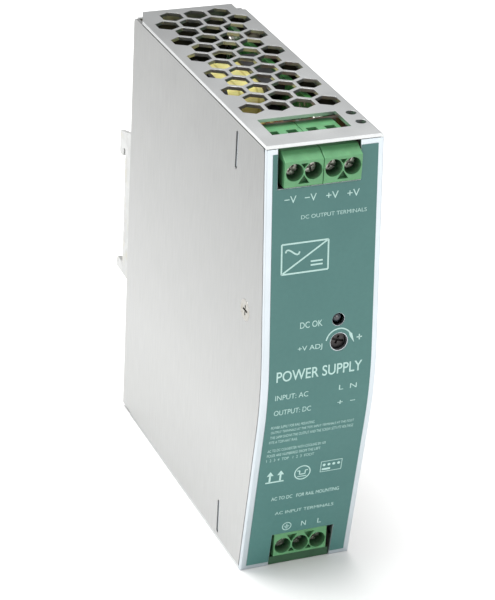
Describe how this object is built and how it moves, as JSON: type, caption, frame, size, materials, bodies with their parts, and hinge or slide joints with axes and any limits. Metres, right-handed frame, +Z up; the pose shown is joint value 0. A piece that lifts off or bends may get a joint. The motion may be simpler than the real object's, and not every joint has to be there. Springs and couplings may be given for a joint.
{
  "type": "din rail power supply",
  "caption": "Slim sheet-metal power supply with a bowed front, screw terminals at top and bottom, honeycomb vents and a sprung catch for a 35 mm rail.",
  "frame": {"origin": "middle of the face that the rail rests against, on the back of the case", "axes": "+X to the right seen from the front, +Y back through the rail, +Z up"},
  "size_m": [0.032, 0.1108, 0.1252],
  "materials": {
    "case_metal": "satin",
    "panel_metal": "satin",
    "label_film": "satin",
    "screw_steel": "zinc plated",
    "bracket_metal": "zinc plated",
    "spring_steel": "bright",
    "terminal_green": "satin",
    "clamp_metal": "nickel plated",
    "busbar_metal": "tin plated",
    "board_green": "solder mask",
    "board_brown": "paper laminate",
    "insulation_film": "satin",
    "ferrite": "matte",
    "black_plastic": "satin",
    "yellow_tape": "satin",
    "can_sleeve": "satin",
    "ring_core": "satin",
    "copper_wire": "enamelled",
    "box_film": "satin",
    "disc_coat": "satin",
    "thermistor_coat": "satin",
    "fuse_body": "satin",
    "heatsink_metal": "satin",
    "lamp_lens": "gloss",
    "rotor_plastic": "satin"
  },
  "bodies": {
    "case": {"chassis": "case_metal", "side_cover": "case_metal", "front_panel": "panel_metal", "front_label": "label_film", "case_screws": "screw_steel", "rail_bracket": "bracket_metal", "bracket_rivets": "screw_steel", "latch_spring": "spring_steel", "latch_studs": "screw_steel", "output_terminal_left": "terminal_green", "output_terminal_right": "terminal_green", "input_terminal": "terminal_green", "output_busbars": "busbar_metal", "input_busbars": "busbar_metal", "main_board": "board_green", "output_board": "board_brown", "input_board": "board_brown", "indicator_board": "board_green", "insulation_sheet": "insulation_film", "board_standoffs": "busbar_metal", "board_screws": "screw_steel", "output_link_pins": "busbar_metal", "input_link_pins": "busbar_metal", "indicator_pins": "busbar_metal", "status_led": "lamp_lens", "trimmer_body": "black_plastic", "transformer_core": "ferrite", "transformer_bobbin": "black_plastic", "transformer_tape": "yellow_tape", "bulk_capacitor": "can_sleeve", "output_capacitors": "can_sleeve", "inductor_core": "ring_core", "inductor_winding": "copper_wire", "choke_core": "ferrite", "choke_windings": "copper_wire", "x_capacitor": "box_film", "y_capacitors": "disc_coat", "fuse": "fuse_body", "inrush_thermistor": "thermistor_coat", "surge_varistor": "disc_coat", "bridge_rectifier": "black_plastic", "heatsinks": "heatsink_metal", "power_devices": "black_plastic", "control_chips": "black_plastic"},
    "rail_latch": {"rail_latch": "bracket_metal"},
    "trimmer_rotor": {"trimmer_rotor": "rotor_plastic"},
    "output_screw_1": {"output_screw_1": "screw_steel"},
    "output_screw_2": {"output_screw_2": "screw_steel"},
    "output_screw_3": {"output_screw_3": "screw_steel"},
    "output_screw_4": {"output_screw_4": "screw_steel"},
    "output_clamp_1": {"output_clamp_1": "clamp_metal"},
    "output_clamp_2": {"output_clamp_2": "clamp_metal"},
    "output_clamp_3": {"output_clamp_3": "clamp_metal"},
    "output_clamp_4": {"output_clamp_4": "clamp_metal"},
    "input_screw_1": {"input_screw_1": "screw_steel"},
    "input_screw_2": {"input_screw_2": "screw_steel"},
    "input_screw_3": {"input_screw_3": "screw_steel"},
    "input_clamp_1": {"input_clamp_1": "clamp_metal"},
    "input_clamp_2": {"input_clamp_2": "clamp_metal"},
    "input_clamp_3": {"input_clamp_3": "clamp_metal"}
  },
  "joints": [
    {"name": "latch_slide", "type": "slide", "parent": "case", "child": "rail_latch", "axis": [0, 0, -1], "range_m": [0, 0.004], "stiffness_N_per_m": 1500, "springref_m": -0.002, "deforming": ["latch_spring"]},
    {"name": "trimmer_turn", "type": "hinge", "parent": "case", "child": "trimmer_rotor", "pos_m": [0.005, -0.105, 0.0063], "axis": [0, 1, 0], "range_deg": [-135, 135]},
    {"name": "output_screw_1_turn", "type": "hinge", "parent": "case", "child": "output_screw_1", "pos_m": [-0.00908, -0.0977, 0.0542], "axis": [0, 1, 0], "range_deg": [0, 1800]},
    {"name": "output_clamp_1_slide", "type": "slide", "parent": "case", "child": "output_clamp_1", "axis": [0, -1, 0], "range_m": [0, 0.0025]},
    {"name": "output_screw_2_turn", "type": "hinge", "parent": "case", "child": "output_screw_2", "pos_m": [-0.004, -0.0977, 0.0542], "axis": [0, 1, 0], "range_deg": [0, 1800]},
    {"name": "output_clamp_2_slide", "type": "slide", "parent": "case", "child": "output_clamp_2", "axis": [0, -1, 0], "range_m": [0, 0.0025]},
    {"name": "output_screw_3_turn", "type": "hinge", "parent": "case", "child": "output_screw_3", "pos_m": [0.0015, -0.0977, 0.0542], "axis": [0, 1, 0], "range_deg": [0, 1800]},
    {"name": "output_clamp_3_slide", "type": "slide", "parent": "case", "child": "output_clamp_3", "axis": [0, -1, 0], "range_m": [0, 0.0025]},
    {"name": "output_screw_4_turn", "type": "hinge", "parent": "case", "child": "output_screw_4", "pos_m": [0.00658, -0.0977, 0.0542], "axis": [0, 1, 0], "range_deg": [0, 1800]},
    {"name": "output_clamp_4_slide", "type": "slide", "parent": "case", "child": "output_clamp_4", "axis": [0, -1, 0], "range_m": [0, 0.0025]},
    {"name": "input_screw_1_turn", "type": "hinge", "parent": "case", "child": "input_screw_1", "pos_m": [-0.00383, -0.0936, -0.0584], "axis": [0, 1, 0], "range_deg": [0, 1800]},
    {"name": "input_clamp_1_slide", "type": "slide", "parent": "case", "child": "input_clamp_1", "axis": [0, -1, 0], "range_m": [0, 0.0025]},
    {"name": "input_screw_2_turn", "type": "hinge", "parent": "case", "child": "input_screw_2", "pos_m": [0.00125, -0.0936, -0.0584], "axis": [0, 1, 0], "range_deg": [0, 1800]},
    {"name": "input_clamp_2_slide", "type": "slide", "parent": "case", "child": "input_clamp_2", "axis": [0, -1, 0], "range_m": [0, 0.0025]},
    {"name": "input_screw_3_turn", "type": "hinge", "parent": "case", "child": "input_screw_3", "pos_m": [0.00633, -0.0936, -0.0584], "axis": [0, 1, 0], "range_deg": [0, 1800]},
    {"name": "input_clamp_3_slide", "type": "slide", "parent": "case", "child": "input_clamp_3", "axis": [0, -1, 0], "range_m": [0, 0.0025]}
  ],
  "couplings": [
    {"joint": "output_screw_1_turn", "follows": "output_clamp_1_slide", "rad_per_m": 12565},
    {"joint": "output_screw_2_turn", "follows": "output_clamp_2_slide", "rad_per_m": 12565},
    {"joint": "output_screw_3_turn", "follows": "output_clamp_3_slide", "rad_per_m": 12565},
    {"joint": "output_screw_4_turn", "follows": "output_clamp_4_slide", "rad_per_m": 12565},
    {"joint": "input_screw_1_turn", "follows": "input_clamp_1_slide", "rad_per_m": 12565},
    {"joint": "input_screw_2_turn", "follows": "input_clamp_2_slide", "rad_per_m": 12565},
    {"joint": "input_screw_3_turn", "follows": "input_clamp_3_slide", "rad_per_m": 12565}
  ]
}
